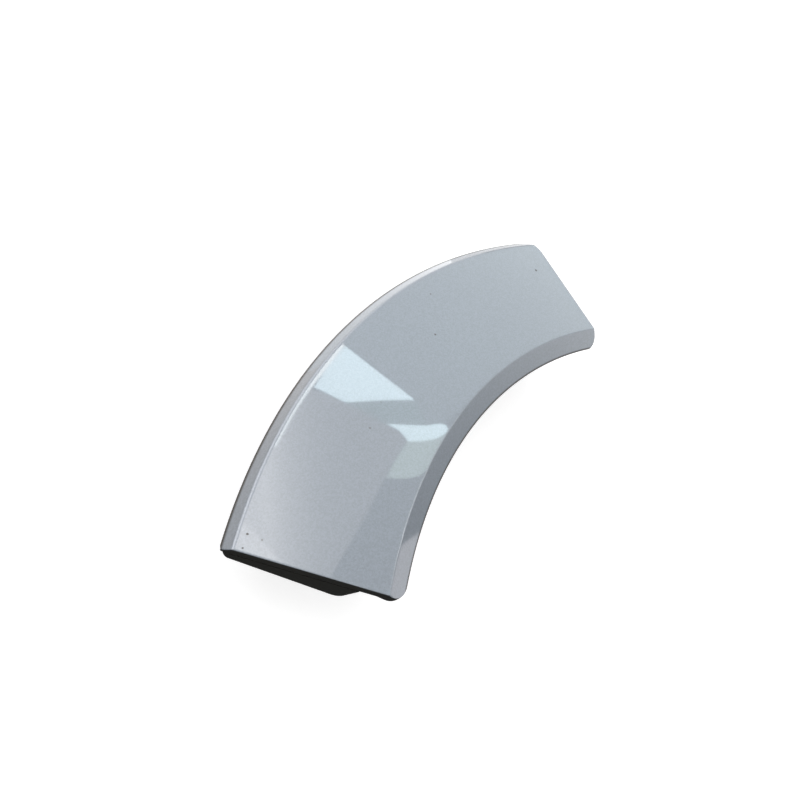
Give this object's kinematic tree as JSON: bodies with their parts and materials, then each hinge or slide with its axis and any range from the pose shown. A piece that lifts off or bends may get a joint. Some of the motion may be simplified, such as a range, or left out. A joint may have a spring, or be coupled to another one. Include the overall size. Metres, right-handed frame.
{
  "type": "washing machine door handle",
  "caption": "Arc-shaped silver pull lever on a black base for a round front-loader door; pulling its inner edge swings a sprung latch hook behind it.",
  "frame": {"origin": "midway between the two fixing screw holes, on the flat back that lies on the door ring", "axes": "+X along the handle, +Y towards its convex outer edge, +Z out of the door through the silver face"},
  "size_m": [0.18, 0.0655, 0.0407],
  "materials": {
    "silver_cover": "silver metallic paint under clear lacquer on ABS",
    "black_frame": "moulded black ABS",
    "black_base": "moulded black ABS",
    "pin_steel": "bright drawn steel",
    "spring_steel": "spring wire",
    "screw_steel": "zinc plated steel",
    "hook_zinc": "die-cast zinc, as cast",
    "buffer_rubber": "soft rubber"
  },
  "bodies": {
    "base": {"base_housing": "black_base", "pivot_pin": "pin_steel", "pivot_clip": "spring_steel", "return_spring": "spring_steel", "stop_buffer_left": "buffer_rubber", "stop_buffer_right": "buffer_rubber", "hook_pin": "pin_steel", "hook_clip": "spring_steel", "hook_spring": "spring_steel"},
    "lever": {"front_cover": "silver_cover", "lever_frame": "black_frame", "cover_screw_1": "screw_steel", "cover_screw_2": "screw_steel", "cover_screw_3": "screw_steel", "cover_screw_4": "screw_steel"},
    "hook": {"latch_hook": "hook_zinc"}
  },
  "joints": [
    {"name": "lever_pull", "type": "hinge", "parent": "base", "child": "lever", "pos_m": [0, 0.02429, -0.002], "axis": [-1, 0, 0], "range_deg": [0, 10], "stiffness_Nm_per_rad": 0.6, "springref_deg": -17.19, "deforming": ["return_spring"]},
    {"name": "hook_swing", "type": "hinge", "parent": "base", "child": "hook", "pos_m": [0, 0.01029, -0.004], "axis": [-1, 0, 0], "range_deg": [0, 15], "stiffness_Nm_per_rad": 0.05, "springref_deg": -17.19, "deforming": ["hook_spring"]}
  ],
  "couplings": [
    {"joint": "hook_swing", "follows": "lever_pull", "ratio": 1.5}
  ]
}
